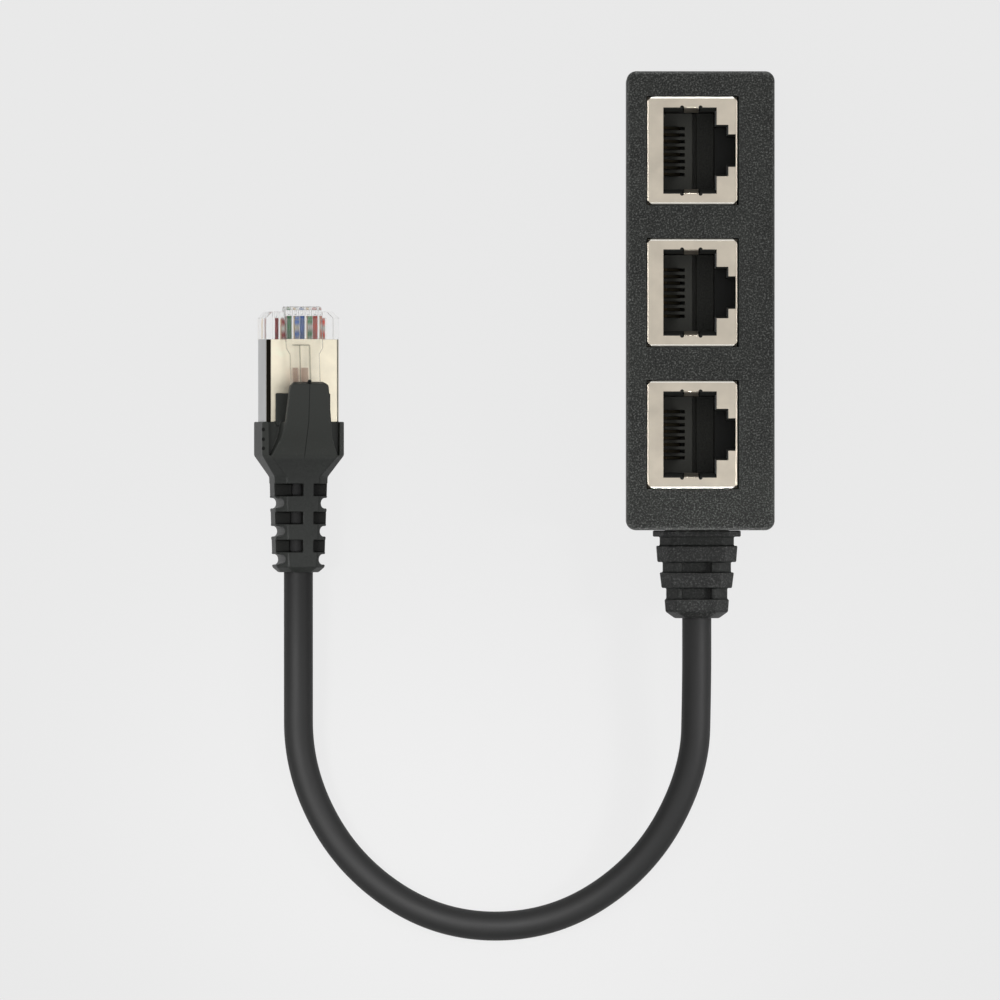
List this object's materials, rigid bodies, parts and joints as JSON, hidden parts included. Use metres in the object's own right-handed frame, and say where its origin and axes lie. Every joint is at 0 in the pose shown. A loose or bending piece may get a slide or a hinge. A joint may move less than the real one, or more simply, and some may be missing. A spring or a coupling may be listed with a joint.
{
  "type": "network splitter adapter",
  "caption": "Short network lead that splits one latching plug into a row of shielded sockets in a black box.",
  "frame": {"origin": "middle of the box's back face, which lies on the table", "axes": "+Z out of the box towards the sockets' mouths, +Y along the row away from the cable, +X towards the latch side of the sockets"},
  "size_m": [0.0802, 0.1339, 0.0242],
  "materials": {
    "housing": "matte, fine grain",
    "cover": "matte, fine grain",
    "board": "green solder mask",
    "jack_tin": "tin plated, satin",
    "jack_plastic": "matte",
    "insert_plastic": "matte",
    "gold": "gold plated",
    "sleeve": "satin",
    "jacket": "satin",
    "clear": "clear, polished",
    "plug_tin": "tin plated, satin",
    "boot": "satin",
    "white_orange": "striped",
    "orange": "satin",
    "white_green": "striped",
    "blue": "satin",
    "white_blue": "striped",
    "green": "satin",
    "white_brown": "striped",
    "brown": "satin",
    "wire_jackets": "satin"
  },
  "bodies": {
    "root": {"housing_shell": "housing", "back_cover": "cover", "circuit_board": "board", "jack_1_shield": "jack_tin", "jack_1_body": "jack_plastic", "jack_1_insert": "insert_plastic", "jack_1_contact_1": "gold", "jack_1_contact_2": "gold", "jack_1_contact_3": "gold", "jack_1_contact_4": "gold", "jack_1_contact_5": "gold", "jack_1_contact_6": "gold", "jack_1_contact_7": "gold", "jack_1_contact_8": "gold", "jack_2_shield": "jack_tin", "jack_2_body": "jack_plastic", "jack_2_insert": "insert_plastic", "jack_2_contact_1": "gold", "jack_2_contact_2": "gold", "jack_2_contact_3": "gold", "jack_2_contact_4": "gold", "jack_2_contact_5": "gold", "jack_2_contact_6": "gold", "jack_2_contact_7": "gold", "jack_2_contact_8": "gold", "jack_3_shield": "jack_tin", "jack_3_body": "jack_plastic", "jack_3_insert": "insert_plastic", "jack_3_contact_1": "gold", "jack_3_contact_2": "gold", "jack_3_contact_3": "gold", "jack_3_contact_4": "gold", "jack_3_contact_5": "gold", "jack_3_contact_6": "gold", "jack_3_contact_7": "gold", "jack_3_contact_8": "gold", "strain_relief": "sleeve", "cable": "jacket", "board_wires": "wire_jackets", "plug_body": "clear", "plug_shield": "plug_tin", "plug_boot": "boot", "plug_contact_1": "gold", "plug_contact_2": "gold", "plug_contact_3": "gold", "plug_contact_4": "gold", "plug_contact_5": "gold", "plug_contact_6": "gold", "plug_contact_7": "gold", "plug_contact_8": "gold", "wire_white_orange": "white_orange", "wire_orange": "orange", "wire_white_green": "white_green", "wire_blue": "blue", "wire_white_blue": "white_blue", "wire_green": "green", "wire_white_brown": "white_brown", "wire_brown": "brown"}
  },
  "joints": []
}
